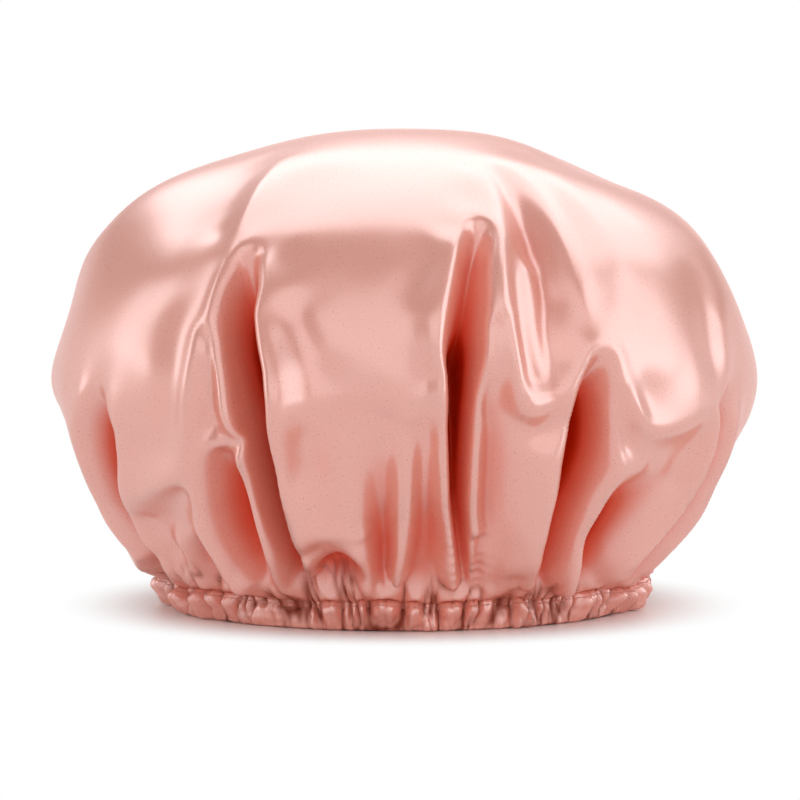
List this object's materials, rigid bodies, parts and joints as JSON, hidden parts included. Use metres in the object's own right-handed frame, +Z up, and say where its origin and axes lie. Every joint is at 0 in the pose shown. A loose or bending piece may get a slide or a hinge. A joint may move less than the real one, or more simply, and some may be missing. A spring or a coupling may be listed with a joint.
{
  "type": "shower cap",
  "caption": "Puffed double-layer shower cap: a gathered satin crown and film lining, held at the hem by a ruffled binding round an elastic.",
  "frame": {"origin": "on the table, under the middle of the cap's box", "axes": "+Z up out of the crown, away from the opening; -Y the side that faces the camera; +X to that camera's right"},
  "size_m": [0.2827, 0.2817, 0.19],
  "materials": {
    "satin": "glossy warp-faced polyester satin, rose pink",
    "lining_film": "thin milky waterproof film, smooth",
    "elastic": "braided white elastic, matt",
    "thread": "twisted polyester sewing thread"
  },
  "bodies": {
    "root": {"satin_crown": "satin", "waterproof_lining": "lining_film", "hem_binding": "satin", "elastic_band": "elastic", "elastic_lap_thread": "thread", "seam_needle_thread": "thread", "seam_bobbin_thread": "thread"}
  },
  "joints": []
}
